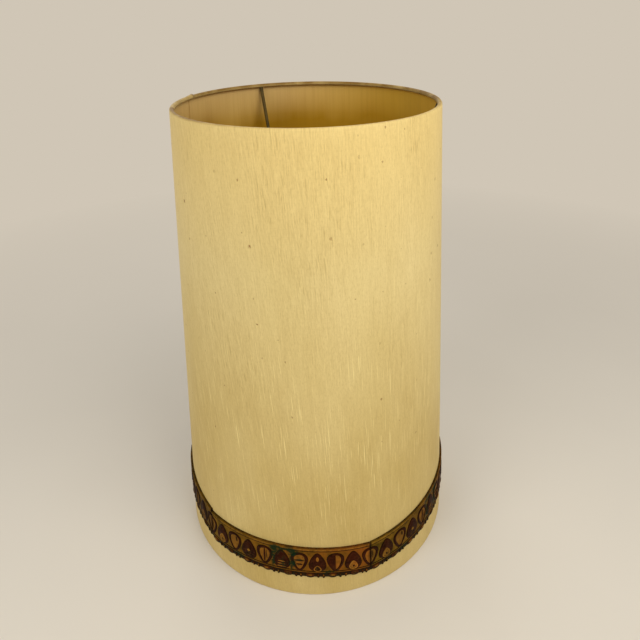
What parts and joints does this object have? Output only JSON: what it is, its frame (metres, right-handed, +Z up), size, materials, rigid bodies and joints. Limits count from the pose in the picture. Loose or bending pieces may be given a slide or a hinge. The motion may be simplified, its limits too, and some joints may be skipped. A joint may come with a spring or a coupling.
{
  "type": "table lamp with shade",
  "caption": "Tall tapered cloth lampshade on a wire frame, standing on its lower rim, with a band of embossed trim and a screw lampholder and bulb on the carrier ring inside.",
  "frame": {"origin": "centre of the lower rim, on the surface that the shade stands on", "axes": "+Z up along the axis of the shade, -Y towards the camera of the picture, +X to its right"},
  "size_m": [0.4, 0.401, 0.6],
  "materials": {
    "cloth": "cream gold slub silk",
    "backing": "matt golden brown card",
    "wire": "dark brown lacquer",
    "trim": "embossed strip, painted ochre, maroon and green, glossy varnish",
    "bakelite": "glossy black brown",
    "brass": "dull brass",
    "porcelain": "white glaze",
    "steel": "plain steel",
    "bulb_metal": "rolled aluminium",
    "black_glass": "black glass",
    "bulb_glass": "frosted inside"
  },
  "bodies": {
    "shade": {"cloth_cover": "cloth", "backing_sheet": "backing", "upper_ring": "wire", "lower_ring": "wire", "drop_arm_1": "wire", "drop_arm_2": "wire", "drop_arm_3": "wire", "carrier_ring": "wire", "trim_piece_1": "trim", "trim_piece_2": "trim", "trim_piece_3": "trim", "trim_piece_4": "trim", "trim_piece_5": "trim", "trim_piece_6": "trim", "holder_body": "bakelite", "holder_cap": "bakelite", "entry_bush": "brass", "grub_screw": "steel", "holder_insert": "porcelain", "terminal_screws": "brass", "centre_contact": "brass", "thread_shell": "brass"},
    "upper_clamp": {"upper_shade_ring": "bakelite"},
    "lower_clamp": {"lower_shade_ring": "bakelite"},
    "bulb": {"bulb_glass": "bulb_glass", "bulb_cap": "bulb_metal", "bulb_insulator": "black_glass", "bulb_contact": "bulb_metal", "bulb_stem": "bulb_glass", "lead_wires": "steel", "filament": "steel"}
  },
  "joints": [
    {"name": "bulb_turn", "type": "hinge", "parent": "shade", "child": "bulb", "pos_m": [0, 0, 0.3], "axis": [0, 0, 1], "range_deg": [0, 1080]},
    {"name": "upper_ring_turn", "type": "hinge", "parent": "shade", "child": "upper_clamp", "pos_m": [0, 0, 0.284], "axis": [0, 0, 1], "range_deg": [0, 1980]},
    {"name": "lower_ring_turn", "type": "hinge", "parent": "shade", "child": "lower_clamp", "pos_m": [0, 0, 0.274], "axis": [0, 0, -1], "range_deg": [0, 360]}
  ]
}
